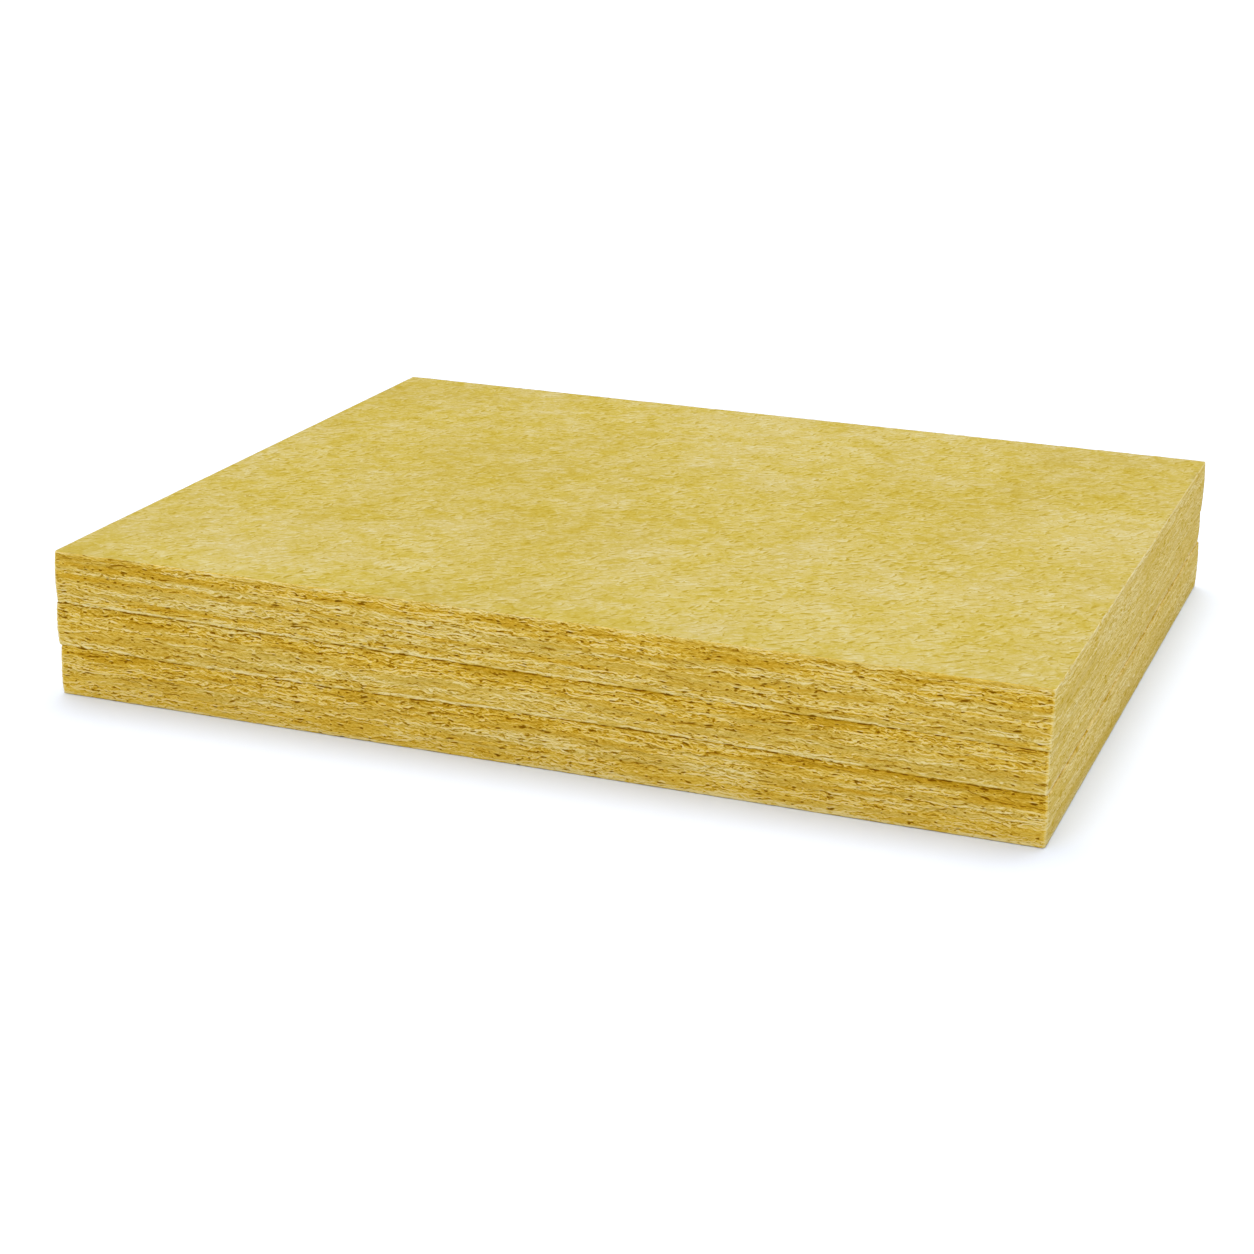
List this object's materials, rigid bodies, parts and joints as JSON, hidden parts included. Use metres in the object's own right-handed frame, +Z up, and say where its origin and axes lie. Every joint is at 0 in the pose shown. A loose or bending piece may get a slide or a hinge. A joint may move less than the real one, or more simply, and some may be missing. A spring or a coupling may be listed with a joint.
{
  "type": "stack of mineral wool insulation boards",
  "caption": "Flat rigid slabs of yellow mineral wool with felted faces and straight sawn edges, laid on one another, for insulating roofs, walls and floors.",
  "frame": {"origin": "middle of the bottom board's underside, on the floor", "axes": "+X along the boards' length, +Y across their width from the front to the back, +Z up through the stack"},
  "size_m": [1.202, 1.0013, 0.18],
  "materials": {
    "mineral_wool": "matt bonded fibre, felted on the faces and sawn across the flakes on the edges"
  },
  "bodies": {
    "root": {"board_bottom": "mineral_wool", "board_middle": "mineral_wool", "board_top": "mineral_wool"}
  },
  "joints": []
}
